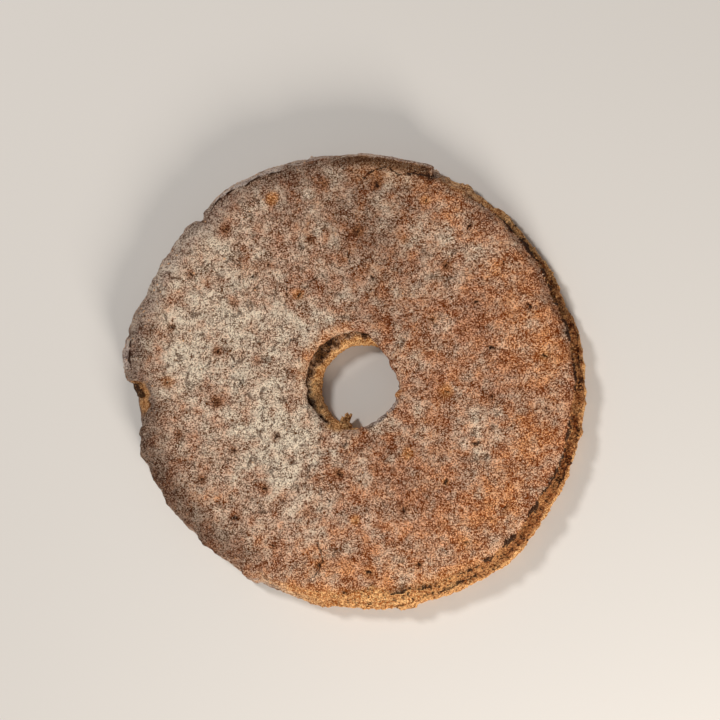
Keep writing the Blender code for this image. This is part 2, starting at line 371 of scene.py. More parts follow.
def section():
    """The ring's closed section as (radius, height), from the hole's foot out and back over the top."""
    lip, hole, rim = LIP_RADIUS, HOLE_RADIUS, RIM_RADIUS
    foot = arc((lip - FOOT_RADIUS, FOOT_RADIUS), FOOT_RADIUS, FOOT_RADIUS, -90, 0, SIDE_STEP)
    shoulder_foot = TOP_HEIGHT - SHOULDER_DOWN
    side_heights = (7.4, SPLIT_LOW, SPLIT_LOW + SPLIT_EDGE, SPLIT_HIGH - SPLIT_EDGE, SPLIT_HIGH)
    side = [(lip - LEAN * smooth_step(z, FOOT_RADIUS, shoulder_foot), z) for z in side_heights]
    shoulder_centre = (lip - LEAN - SHOULDER_ACROSS, shoulder_foot)
    shoulder = arc(shoulder_centre, SHOULDER_ACROSS, SHOULDER_DOWN, 3, 90, SIDE_STEP)
    side = walk([foot[-1], *side, shoulder[0]], SIDE_STEP)[1:-1]
    rim_centre = (rim + RIM_ROUND, TOP_HEIGHT - RIM_ROUND)
    hole_rim = arc(rim_centre, RIM_ROUND, RIM_ROUND, 90, 180, SIDE_STEP)
    face = walk([shoulder[-1], hole_rim[0]], CRUST_STEP)[1:-1]
    wall = [(rim + past, height) for past, height in RIM_WALL]
    wall += [(hole + past, height) for past, height in LIP_WALL]
    wall = walk([hole_rim[-1], *wall, (hole + HOLE_FOOT_BEVEL, 0.0)], SIDE_STEP)[1:]
    under = walk([wall[-1], foot[0]], UNDER_STEP)[1:-1]
    return [tuple(point) for point in [*under, *foot, *side, *shoulder, *face, *hole_rim, *wall]]


def face_height(place):
    """Height of the face's swells over its mean height."""
    rise = 0.0
    for layer, (length, height) in enumerate(FACE_SWELLS):
        seen = Vector((place.x / length, place.y / length, SWELL_LAYER + layer))
        rise += height * noise.noise(seen)
    return rise


def split_share(degrees):
    """How wide and deep the side is split in a direction: 0 where it is whole."""
    return bump(degrees, *SPLIT_ARC, ARC_SHARPNESS)


def run_share(degrees, steps):
    """1 along a stretch of the edge and 0 past its ends."""
    degrees %= 360.0
    start, up, down, end = steps
    return smooth_step(degrees, start, up) * (1.0 - smooth_step(degrees, down, end))


def square_rise(radius, height):
    """Millimetres that the shoulder is raised at one place to make it squarer."""
    share = (height - TOP_HEIGHT + SHOULDER_DOWN) / SHOULDER_DOWN
    if share <= 0.0 or radius < LIP_RADIUS - SHOULDER_WIDTH:
        return 0.0
    return SHOULDER_DOWN * (min(share, 1.0) ** SHOULDER_SQUARE - min(share, 1.0))


def side_shift(degrees, height):
    """Millimetres outwards that the outer side moves at one place."""
    crumb = SPLIT_LEAST + 0.5 + 0.5 * ring_noise(degrees, SPLIT_CELL, 1.7)
    split = SPLIT_DEPTH * split_share(degrees) * crumb
    split += HAIRLINE_DEPTH * bump(degrees, *HAIRLINE_ARC, ARC_SHARPNESS)
    edge = SPLIT_EDGE / 2
    shift = -split * in_band(height, SPLIT_LOW + edge, SPLIT_HIGH - edge, edge)
    crust_share = smooth_step(height, SPLIT_LOW, SPLIT_HIGH + FACE_FADE)
    flap = run_share(degrees, FLAP_STEPS)
    moved = sum_places(CRUST_PLACES, degrees) + FLAP_OUT * flap
    moved -= CHIP_DEPTH * run_share(degrees, CHIP_STEPS)
    shift += moved * crust_share
    shift += sum(outwards * bump(degrees, centre, half, 10) for centre, half, outwards in EDGE_STEPS)
    lumps = SIDE_LUMPS * ring_noise(degrees, SIDE_LUMP_CELL, height / 5.0)
    return shift + lumps * (1.0 - 0.8 * max(flap, bump(degrees, *SMOOTH_STRIP, 8)))


def hole_shift(degrees, height):
    """Millimetres away from the hole's middle that its wall moves at one place."""
    crumb = 0.5 + 0.5 * ring_noise(degrees, CRUMB_CELL, 9.2)
    shift = CREVICE_DEPTH * crumb * in_band(height, *CREVICE_BAND, 1.0)
    shift += sum_places(HOLE_TAGS, degrees) * in_band(height, *TAG_BAND, 1.5)
    return shift + sum_places(RIM_PLACES, degrees) * smooth_step(height, *RIM_HEIGHTS)


def spun_ring():
    """The section spun once round the upright axis, with the outer part cut twice as fine."""
    ring = bmesh.new()
    corners = [ring.verts.new((radius, 0.0, height)) for radius, height in section()]
    edges = [ring.edges.new(pair) for pair in zip(corners, corners[1:] + corners[:1])]
    bmesh.ops.spin(
        ring,
        geom=corners + edges,
        axis=(0.0, 0.0, 1.0),
        cent=(0.0, 0.0, 0.0),
        angle=math.tau,
        steps=TURN_STEPS,
        use_merge=True,
    )
    outer = []
    for edge in ring.edges:
        one, other = (vert.co for vert in edge.verts)
        level = abs(one.z - other.z) < 1e-5 and abs(one.xy.length - other.xy.length) < 1e-3
        if level and one.xy.length > DOUBLE_PAST:
            outer.append(edge)
    bmesh.ops.subdivide_edges(ring, edges=outer, cuts=1, use_grid_fill=True)
    return ring


def shape_ring(ring):
    """Moves the round ring to the loaf's outline and notes what each place belongs to."""
    region = {name: ring.verts.layers.float.new(name) for name in REGIONS}
    hole_middle, rim_middle = Vector(HOLE_CENTRE), Vector(RIM_CENTRE)
    side_start = LIP_RADIUS - SHOULDER_WIDTH
    for vert in ring.verts:
        radius, height = vert.co.xy.length, vert.co.z
        degrees = math.degrees(math.atan2(vert.co.y, vert.co.x))
        out = heading(degrees)
        outer = out * (radius - LIP_RADIUS + lip_radius(degrees))
        if radius > side_start:
            fade = smooth_step(radius, side_start, side_start + SIDE_FADE)
            outer += out * side_shift(degrees, height) * fade
        inner = hole_middle.lerp(rim_middle, smooth_step(height, *LEAN_HEIGHTS)) + out * radius
        if radius < RIM_RADIUS + RIM_WIDTH:
            inner += out * hole_shift(degrees, height)
        place = inner.lerp(outer, smooth_step(radius, RIM_RADIUS + RIM_WIDTH, side_start))
        reach = smooth_step(radius, side_start - FLAP_REACH, side_start)
        rise = face_height(place) + FLAP_RISE * run_share(degrees, FLAP_STEPS) * reach
        rise += square_rise(radius, height) * split_share(degrees)
        rise *= smooth_step(height, SPLIT_HIGH, TOP_HEIGHT - FACE_FADE)
        mark_regions(vert, region, radius, height, degrees)
        vert.co = (place.x, place.y, height + rise)


def between(pairs, place):
    """Value at a place on a run of (place, value) pairs."""
    for (start, one), (end, other) in zip(pairs, pairs[1:]):
        if place <= end:
            return one + (other - one) * min(max((place - start) / (end - start), 0.0), 1.0)
    return pairs[-1][1]


def crust_edge(degrees):
    """Height on the side where the top crust ends and the split begins."""
    return between(GAP_HEIGHTS, degrees) + 0.9 * ring_noise(degrees, 5.0, 4.4)


def past_edge(radius, height, edge):
    """Millimetres along the section from a height on the shoulder, below nought under it."""
    share = min(max((edge - TOP_HEIGHT + SHOULDER_DOWN) / SHOULDER_DOWN, 0.0), 0.99)
    across = LIP_RADIUS - LEAN - SHOULDER_ACROSS * (1.0 - math.sqrt(1.0 - share * share))
    return math.copysign(math.hypot(radius - across, height - edge), height - edge)


def split_gap(place, radius, height, degrees):
    """How far a place of the split side lies in one of the gaps that run along it, painted black as their
    shade.
    """
    extra = sum_places(WIDE_GAPS, degrees)
    ragged = noise.noise(place / 1.7) + 0.6 * noise.noise(place / 0.9)
    wide = 0.35 + 0.9 * max(0.0, ring_noise(degrees, 3.6, 8.8) + 0.05) + 0.75 * extra
    gap = math.exp(-((past_edge(radius, height, crust_edge(degrees)) - 0.9 * ragged) / wide) ** 4)
    gap *= max(extra, smooth_step(ring_noise(degrees, 4.0, 2.9), -0.15, 0.1))
    gap = min(gap * (1.1 + 1.1 * ragged), 1.0)
    middle = SPLIT_LOW - 0.6 + 1.8 * ring_noise(degrees, 7.0, 6.4)
    wide = 0.3 + 1.1 * max(0.0, ring_noise(degrees, 3.0, 5.8))
    lower = math.exp(-(((height - middle) / wide) ** 2))
    lower *= smooth_step(ring_noise(degrees, 6.0, 7.9), -0.1, 0.2)
    return max(gap * bump(degrees, *GAP_ARC, ARC_SHARPNESS), 0.8 * lower * split_share(degrees))


def strip(radius, height, degrees):
    """Smooth floury stretches of the shoulder at the top and on the left lug, as (floury, crease)."""
    floury = crease = 0.0
    for middle, half, top, amount, deep in FLOURY_STRIPS:
        share = bump(degrees, middle, half, 8)
        past = past_edge(radius, height, top + 0.5 * ring_noise(degrees, 4.0, middle))
        floury = max(floury, amount * share * (1.0 - smooth_step(past, -0.5, 0.2)))
        # Painted shade along the crease under a floury stretch
        shade_line = math.exp(-(((past - 0.8) / 0.8) ** 2)) * deep
        crease = max(crease, share * shade_line * smooth_step(ring_noise(degrees, 1.8, 7.7), -0.3, 0.1))
    return floury, crease


def mark_regions(vert, region, radius, height, degrees):
    """Notes how far a place is open crumb, bottom lip, side, underside and the face's outer edge."""
    outside = smooth_step(radius, LIP_RADIUS - 11.0, LIP_RADIUS - 6.5)
    on_side = smooth_step(radius, LIP_RADIUS - 15.5, LIP_RADIUS - 14.5)
    inside = 1.0 - smooth_step(radius, RIM_RADIUS + 0.5, RIM_RADIUS + 3.5)
    crust_end = crust_edge(degrees)
    past = past_edge(radius, height, crust_end)
    open_side = bump(degrees, *GAP_ARC, ARC_SHARPNESS) * (1.0 - smooth_step(past, -0.5, 0.3))
    open_side *= smooth_step(height, SPLIT_LOW - 3.8, SPLIT_LOW - 2.2) * on_side
    torn = noise.noise(vert.co / 4.0) + 0.6 * noise.noise(vert.co / 1.8)
    level = height + 3.2 * noise.noise(vert.co / 5.0 + Vector((4.0, 0.0, 0.0)))
    broken = run_share(degrees + 1.6 * torn, CHIP_STEPS) * in_band(level, 9.5, 19.0, 1.6) * outside
    flaked = 0.55 * bump(degrees, 58.0, 5.5) * in_band(height, 6.0, 18.0, 2.0) * outside
    open_side = max(open_side, 0.2 * broken, flaked)
    vert[region["crumb"]] = open_side
    tag = bump(degrees, HOLE_TAGS[0][0], 11.0)
    ledge = 10.9 - 1.6 * bump(degrees, 132.0, 26.0) + 0.7 * bump(degrees, 187.0, 26.0)
    ledge += 1.2 * ring_noise(degrees, 9.0, 5.5) + 0.7 * ring_noise(degrees, 4.0, 1.5)
    top = 17.4 + 0.9 * ring_noise(degrees, 8.0, 9.5)
    clump = 1.05 + 0.9 * noise.noise(vert.co / 2.6) - 0.5 * bump(degrees, 100.0, 14.0)
    # Painted shade: the crevice in the hole's wall is darkened for the shade inside it
    crevice = inside * in_band(height, ledge, top, 0.8) * (1.0 - tag)
    vert[region["crevice"]] = crevice * min(max(clump, 0.0), 1.0)
    low = 1.0 - smooth_step(height, SPLIT_LOW - 0.6, SPLIT_LOW + 0.9)
    golden = max(bump(degrees, -20.0, 80.0, 8), 0.12)
    inner_low = 1.0 - smooth_step(height, ledge - 0.6, ledge + 0.4)
    vert[region["lip"]] = max(low * outside * golden, inside * inner_low, inside * tag, 0.7 * broken)
    floury, crease = strip(radius, height, degrees)
    pale_rim = bump(degrees, 312.0, 25.0, 8)
    pale_rim *= 1.0 - smooth_step(radius, RIM_RADIUS + 1.6, RIM_RADIUS + 3.2)
    # Painted cool light: the left rim takes the side's lavender grey
    left_rim = 0.45 * bump(degrees, 156.0, 38.0) * smooth_step(radius, LIP_RADIUS - 20.0, LIP_RADIUS - 12.0)
    side = outside * (1.0 - golden) * (1.0 - smooth_step(height, 13.0, 15.0))
    vert[region["side"]] = max(side, on_side * floury, pale_rim, left_rim * (1.0 - broken))
    vert[region["gold"]] = max(
        0.4 * bump(degrees, 140.0, 48.0) * (1.0 - smooth_step(radius, RIM_RADIUS + 1.0, RIM_RADIUS + 8.0)),
        bump(degrees, 343.0, 5.0) * (1.0 - smooth_step(radius, RIM_RADIUS + 2.0, RIM_RADIUS + 4.0)),
        0.75 * broken,
        0.2 * bump(degrees, 76.0, 13.0) * smooth_step(radius, LIP_RADIUS - 19.0, LIP_RADIUS - 14.0),
        # Painted warm light: the bottom side is golden partly from its crust and partly for the warm light
        # falling on it
        bump(degrees, 283.0, 25.0) * smooth_step(radius, LIP_RADIUS - 14.0, LIP_RADIUS - 7.0),
    )
    vert[region["under"]] = 1.0 - smooth_step(height, 0.4, 3.0)
    slot = bump(degrees + 0.6 * torn, 182.5, 2.0, 10) * outside
    slot *= in_band(height + 0.8 * torn, 9.6, 12.8, 0.5)
    # Painted shade: the gaps under the top crust, the slot and the crease are darkened for the shade in them
    gap = split_gap(vert.co, radius, height, degrees)
    vert[region["pit_shade"]] = max(on_side * gap, slot, on_side * crease)
    # Darker towards the face's outer edge at the top and left
    darker_edge = 0.45 * bump(degrees, 112.0, 28.0) + 0.65 * bump(degrees, 202.0, 48.0)
    darker_edge *= 1.0 - 0.8 * bump(degrees, 272.0, 26.0)
    darker_edge *= smooth_step(radius, LIP_RADIUS - 24.0, LIP_RADIUS - 9.0)
    band = run_share(degrees, FLAP_STEPS) * in_band(height, 18.9, 21.0, 0.3) * on_side
    vert[region["edge"]] = max(darker_edge, band) * (1.0 - floury)


def dock_places():
    """Where the docker's spikes went in: three loose rings round the hole."""
    draw = random.Random(DOCK_SEED)
    places = []
    for radius, count, first, drift, drift_peak, sway in DOCK_RINGS:
        for step in range(count):
            degrees = first + 360.0 * step / count
            degrees += drift * math.cos(math.radians(degrees - drift_peak))
            swing = sway * math.cos(math.radians(2 * (degrees - DOCK_SWAY_PEAK)))
            place = Vector(DOCK_CENTRE) + heading(degrees) * (radius + swing)
            places.append((place, draw.uniform(*DOCK_MOUTH), draw.uniform(*DOCK_DEPTH)))
    return places


def strokes():
    """Short hairline cracks, most of them upright in the view from above."""
    draw = random.Random(STROKE_SEED)
    runs = []
    for _ in range(STROKES):
        start = Vector((draw.uniform(*STROKES_ACROSS), draw.uniform(*STROKES_ALONG)))
        lean = heading(draw.gauss(84.0, 26.0)) * draw.uniform(2.5, 8.0)
        if STROKES_REACH[0] < (start - Vector(RIM_CENTRE)).length < STROKES_REACH[1]:
            middle = start + lean * 0.5 + Vector((draw.uniform(-1.0, 1.0), 0.0))
            runs.append(((start, middle, start + lean), draw.uniform(0.4, 0.65), draw.uniform(0.7, 1.5)))
    return runs


def crack_points():
    """Places along every crack with its half width and depth there, wandering a little."""
    points = []
    for number, (run, half, depth) in enumerate([*CRACKS, *strokes()]):
        run = walk([Vector(place) for place in run], 0.35)
        for step, place in enumerate(run):
            wander = Vector([noise.noise(Vector((step * 0.11, number, layer))) for layer in (4.0, 8.0)])
            shake = [noise.noise(Vector((step * 0.45, number, layer))) for layer in (5.0, 9.0)]
            wander += 0.35 * Vector(shake)
            ends = min(step, len(run) - 1 - step) / 6.0
            thick = min(1.0, 0.3 + ends) * (0.8 + 0.6 * noise.noise(Vector((step * 0.3, number, 2.0))))
            points.append((place + wander * 1.4, half * max(thick, 0.3), depth * max(thick, 0.3)))
    return points


def refine(ring):
    """Cuts the face finer round the docks and cracks."""
    tree = KDTree(len(ring.edges))
    edges = list(ring.edges)
    for index, edge in enumerate(edges):
        middle = (edge.verts[0].co + edge.verts[1].co) / 2
        flat = Vector((middle.x, middle.y, 0.0)) if middle.z > 17.0 else Vector((0, 0, 999))
        tree.insert(flat, index)
    tree.balance()
    near = set()
    for place, mouth, _ in dock_places():
        near.update(i for _, i, _ in tree.find_range((place.x, place.y, 0.0), mouth + 0.5))
    for place, half, _ in crack_points():
        near.update(i for _, i, _ in tree.find_range((place.x, place.y, 0.0), half + 0.7))
    bmesh.ops.subdivide_edges(ring, edges=[edges[i] for i in near], cuts=1, use_grid_fill=True)


def soft_patch(patches, place):
    """Sum of soft round patches at a place."""
    total = 0.0
    for middle, reach, amount in patches:
        gap = (place - Vector(middle)).length / reach
        if gap < 2.4:
            total += amount * math.exp(-gap * gap)
    return total


def press_docks_and_cracks(ring):
    """Sinks the dock holes and the cracks into the face."""
    layers = ring.verts.layers.float
    pit_shade, halo, gold = layers["pit_shade"], layers["halo"], layers["gold"]
    verts = [vert for vert in ring.verts if vert.co.z > 16.5]
    tree = KDTree(len(verts))
    for index, vert in enumerate(verts):
        tree.insert((vert.co.x, vert.co.y, 0.0), index)
    tree.balance()
    sink = {}
    for number, (place, mouth, depth) in enumerate(dock_places()):
        soft = smooth_step(-place.x + 0.3 * place.y, -35.0, 20.0)
        dimple = 4.6 + 1.2 * soft + 3.0 * noise.noise(Vector((number * 3.7, 0.3, 0.8)))
        lean = math.tau * noise.noise(Vector((number * 1.3, 5.0, 0.2)))
        stain = min(1.0, 0.15 + 0.35 * soft + 1.4 * abs(noise.noise(Vector((number * 2.1, 9.0, 0.7)))))
        warm = smooth_step(noise.noise(Vector((number * 5.3, 2.0, 0.6))), 0.05, 0.35)
        for spot, index, gap in tree.find_range((place.x, place.y, 0.0), dimple):
            turn = math.atan2(spot.y - place.y, spot.x - place.x)
            ragged = 1.0 + 0.5 * noise.noise(Vector((math.cos(turn), math.sin(turn), number)))
            ragged += 0.28 * math.cos(2.0 * (turn - lean))
            hole = max(0.0, 1.0 - gap / (mouth * ragged)) ** 0.75
            around = (1.0 - gap / dimple) ** 2
            sink[index] = max(sink.get(index, 0.0), (1.0 - 0.4 * soft) * depth * hole + 0.7 * around)
            # Painted shade in the dock hole, darker the deeper the hole
            dark = min(1.0, 0.5 * depth * hole * (1.0 - 0.3 * soft))
            verts[index][pit_shade] = max(verts[index][pit_shade], dark)
            verts[index][halo] = max(verts[index][halo], stain * min(1.0, 1.7 * around))
            verts[index][gold] = max(verts[index][gold], warm * min(1.0, 2.2 * around))
    for place, half, depth in crack_points():
        for _, index, gap in tree.find_range((place.x, place.y, 0.0), half * 1.9):
            share = math.exp(-((gap / half) ** 2) * 0.8)
            sink[index] = max(sink.get(index, 0.0), depth * share)
            # Painted shade along the crack, darker the deeper it is
            verts[index][pit_shade] = max(verts[index][pit_shade], min(1.0, (0.45 + 0.4 * depth) * share))
    for index, depth in sink.items():
        verts[index].co.z -= depth


def pore(place, size, layer):
    """1 inside a pore of open crumb and 0 outside it."""
    gap = noise.voronoi(place / size + Vector((0, 0, layer)))[0][0]
    return 1.0 - smooth_step(gap, 0.18, 0.46)


def roughen(ring):
    """Gives the crust its lumps and the open crumb its pores, along the surface's own normals."""
    ring.normal_update()
    layers = ring.verts.layers.float
    moves = []
    for vert in ring.verts:
        place, crumb = vert.co.copy(), max(vert[layers["crumb"]], vert[layers["crevice"]])
        under, lip = vert[layers["under"]], vert[layers["lip"]]
        rise = -1.6 * vert[layers["pit_shade"]] if vert.normal.z < 0.8 else 0.0
        degrees = math.degrees(math.atan2(place.y, place.x))
        smooth = max(run_share(degrees, FLAP_STEPS), bump(degrees, *SMOOTH_STRIP, 8))
        smooth *= 0.75 * smooth_step(place.xy.length, 113.0, 117.0)
        for number, (size, height) in enumerate(CRUST_LUMPS):
            rise += (1.0 - smooth) * height * noise.noise(place / size + Vector((0, 0, 7.0 * number)))
        if place.z > 2.0 and (place.xy - Vector(HOLE_CENTRE)).length < 22.5:
            rise += 1.6 * noise.noise(place / 1.9) + 0.9 * noise.noise(place / 1.0)
        if crumb + lip > 0.02:
            torn = 0.0
            for number, (size, height) in enumerate(CRUMB_LUMPS):
                torn += height * noise.noise(place / size + Vector((3.0, 0, 5.0 * number)))
            hollow = 1.1 * pore(place, 2.8, 0.0) + 0.6 * pore(place, 1.7, 6.0)
            # Painted shade in the pores of the open crumb, darker where they are deeper
            dark = min(1.0, 0.5 * hollow * (crumb + 0.2 * lip) + 0.35 * vert[layers["crevice"]] * hollow)
            vert[layers["pit_shade"]] = max(vert[layers["pit_shade"]], dark)
            rise += (torn - hollow) * crumb + (0.5 * torn - 0.4 * hollow) * lip * (1.0 - crumb)
        moves.append(vert.normal * rise * (1.0 - 0.85 * under))
    for vert, move in zip(ring.verts, moves):
        vert.co += move
        vert.co.z = max(vert.co.z, 0.0)


def dust(ring):
    """Notes how much flour lies on each place, how strongly it is baked, with painted warm light on the right
    half, and how dark it is, with painted shade.
    """
    layers = ring.verts.layers.float
    for vert in ring.verts:
        place = vert.co.xy
        swirl = noise.noise(Vector((place.x / 21.0, place.y / 21.0, 2.0)))
        fine = noise.noise(Vector((place.x / 8.0, place.y / 8.0, 5.0)))
        left = smooth_step(-place.x + 0.25 * place.y, -70.0, 70.0)
        side = vert[layers["side"]]
        flour = 0.12 + 0.30 * left + soft_patch(FLOUR_PATCHES, place) + 0.22 * swirl + 0.24 * fine
        gold = vert[layers["gold"]]
        flour += 0.45 * side - 0.2 * vert[layers["edge"]] * (1.0 - side) - 0.3 * gold
        # Partly more baked crust, partly painted warm light over the right half
        baked_and_warm_lit = soft_patch(BAKED_AND_WARM_LIT_PATCHES, place) + 0.30 * (1.0 - left) + 0.2 * swirl + 0.2 * fine
        baked_and_warm_lit = baked_and_warm_lit * (1.0 - side) + 0.8 * gold
        degrees = math.degrees(math.atan2(place.y, place.x))
        shaded = 0.85 * vert[layers["crumb"]] * bump(degrees, -14.0, 50.0)
        # dark: darker crust, with painted shade at the top and left edges and, through shaded, on the right
        # side band
        dark = soft_patch(DARK_PATCHES, place) + 0.6 * vert[layers["edge"]] + 0.3 * fine + shaded
        vert[layers["flour"]] = min(max(flour, 0.0), 1.0)
        vert[layers["baked_and_warm_lit"]] = min(max(baked_and_warm_lit, 0.0), 1.0)
        vert[layers["dark"]] = min(max(dark, 0.0), 1.0)


def new_object(name, form):
    """Turns a bmesh in millimetres into an object in metres, over the origin."""
    middle = Vector((BOX_MIDDLE[0], BOX_MIDDLE[1], 0.0))
    bmesh.ops.translate(form, vec=-middle, verts=form.verts)
    bmesh.ops.scale(form, vec=(MM, MM, MM), verts=form.verts)
    bmesh.ops.recalc_face_normals(form, faces=form.faces)
    mesh = bpy.data.meshes.new(name)
    form.to_mesh(mesh)
    form.free()
    item = bpy.data.objects.new(name, mesh)
    bpy.context.scene.collection.objects.link(item)
    return item


def make_loaf():
    ring = spun_ring()
    shape_ring(ring)
    refine(ring)
    press_docks_and_cracks(ring)
    roughen(ring)
    dust(ring)
    loaf = new_object("loaf", ring)
    loaf.data.shade_smooth()
    loaf.data.materials.append(crust_material())
    return loaf


def read(items, name, width=1, kind=float):
    """One value or row of values for each item of a mesh."""
    values = np.empty(len(items) * width, kind)
    items.foreach_get(name, values)
    return values.reshape(-1, width) if width > 1 else values


def pick_spots(loaf, count, weight, seed):
    """Random places on the loaf, their normals and field values, denser where the weight is high."""
    draw = np.random.default_rng(seed)
    mesh = loaf.data
    corner = read(mesh.loops, "vertex_index", kind=int)
    start, total = (read(mesh.polygons, name, kind=int) for name in ("loop_start", "loop_total"))
    normal = read(mesh.polygons, "normal", 3)
    fields = {name: read(mesh.attributes[name].data, "value")[corner[start]] for name in REGIONS}
    chance = read(mesh.polygons, "area") * np.clip(weight(fields, normal), 0.0, None)
    chosen = draw.choice(len(start), size=count, p=chance / chance.sum())
    start, last = start[chosen], (start + total - 1)[chosen]
    co = read(mesh.vertices, "co", 3)
    across, along = draw.random((2, count, 1))
    near = co[corner[start]] * (1 - across) + co[corner[start + 1]] * across
    far = co[corner[last]] * (1 - across) + co[corner[start + 2]] * across
    carried = {name: fields[name][chosen] for name in CARRIED}
    return near * (1 - along) + far * along, normal[chosen], carried


def turned_frames(normal, draw, tilt):
    """Three axes for each grain, the third near the normal and the others turned at random."""
    upright = normal + tilt * draw.uniform(-1.0, 1.0, normal.shape)
    upright /= np.linalg.norm(upright, axis=1, keepdims=True)
    across = np.cross(upright, draw.uniform(-1.0, 1.0, normal.shape))
    across /= np.linalg.norm(across, axis=1, keepdims=True)
    return across, np.cross(upright, across), upright


def repeat(mesh, count):
    """Fills a mesh with copies of itself, one after the other."""
    form = bmesh.new()
    for _ in range(count):
        form.from_mesh(mesh)
    form.to_mesh(mesh)
    form.free()


def scatter(name, spots, sizes, shape, sunk, rough, material, seed):
    """One mesh of small lumps: rows of copies, then moved and turned one by one."""
    draw = np.random.default_rng(seed)
    place, normal, carried = spots
    count = len(place)
    form = bmesh.new()
    shape(form)
    mesh = bpy.data.meshes.new(name)
    form.to_mesh(mesh)
    form.free()
    outline = read(mesh.vertices, "co", 3)
    one = len(outline)
    repeat(mesh, GRAIN_ROW)
    repeat(mesh, count // GRAIN_ROW)
    size = draw.uniform(*sizes, (count, 1)) * MM
    flat = np.stack([np.ones(count), draw.uniform(0.6, 1.0, count), draw.uniform(0.45, 0.8, count)], 1)
    local = outline * (1.0 + rough * draw.uniform(-1.0, 1.0, (count, one, 1)))
    local *= (flat * size)[:, None]
    axes = turned_frames(normal, draw, 0.5)
    moved = (place - normal * size * draw.uniform(0.0, sunk, (count, 1)))[:, None]
    moved = moved + sum(local[:, :, i : i + 1] * axis[:, None] for i, axis in enumerate(axes))
    moved[..., 2] = np.maximum(moved[..., 2], 0.0)
    mesh.vertices.foreach_set("co", moved.ravel())
    carried["tone"] = draw.random(count)
    for field, values in carried.items():
        layer = mesh.attributes.new(field, "FLOAT", "POINT")
        layer.data.foreach_set("value", np.repeat(values, one))
    mesh.update()
    grains = bpy.data.objects.new(name, mesh)
    bpy.context.scene.collection.objects.link(grains)
    mesh.materials.append(material)
    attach(grains, "root")


def small_grain(form):
    bmesh.ops.create_uvsphere(form, u_segments=4, v_segments=2, radius=1.0)


def round_grain(form):
    bmesh.ops.create_icosphere(form, subdivisions=1, radius=1.0)


def flour_weight(here, normal):
    open_face = (1.0 - here["pit_shade"]) * (1.0 - 0.8 * here["halo"]) * (1.0 - 0.8 * here["crumb"])
    open_face *= (1.0 - here["crevice"]) * (1.0 - 0.7 * here["lip"])
    up = 0.25 + 0.75 * np.clip(normal[:, 2], 0.0, 1.0)
    return (0.4 + here["flour"]) * open_face * up * (1.0 - here["under"])


def bran_weight(here, normal):
    loose = 0.35 + 0.6 * here["baked_and_warm_lit"] + 0.5 * here["dark"] + 1.5 * here["crumb"] + here["lip"]
    return loose * (1.0 - 0.7 * here["pit_shade"]) * (1.0 - here["under"])


def crumb_weight(here, normal):
    torn = here["crumb"] + 0.5 * here["lip"] + 0.12 * here["side"] + 0.01
    return torn * (1.0 - here["pit_shade"]) * (1.0 - here["under"])


def scatter_grains(loaf):
    """Flour, bran and crumbs lying on the crust, each kind one mesh."""
    pale = grain_material("flour_grain", colour(206, 180, 150), colour(255, 244, 228), 0.6)
    brown = grain_material("bran_grain", colour(72, 40, 24), colour(200, 140, 98), 0.35)
    torn = grain_material("crumb_grain", colour(120, 74, 38), colour(224, 166, 108), 0.4)
    spots = pick_spots(loaf, FLOUR_COUNT, flour_weight, 3)
    scatter("flour_grains", spots, FLOUR_SIZES, small_grain, 0.3, 0.1, pale, 4)
    spots = pick_spots(loaf, BRAN_COUNT, bran_weight, 5)
    scatter("bran_grains", spots, BRAN_SIZES, small_grain, 0.3, 0.15, brown, 6)
    spots = pick_spots(loaf, CRUMB_COUNT, crumb_weight, 7)
    scatter("crumbs", spots, CRUMB_SIZES, round_grain, 0.45, 0.2, torn, 8)


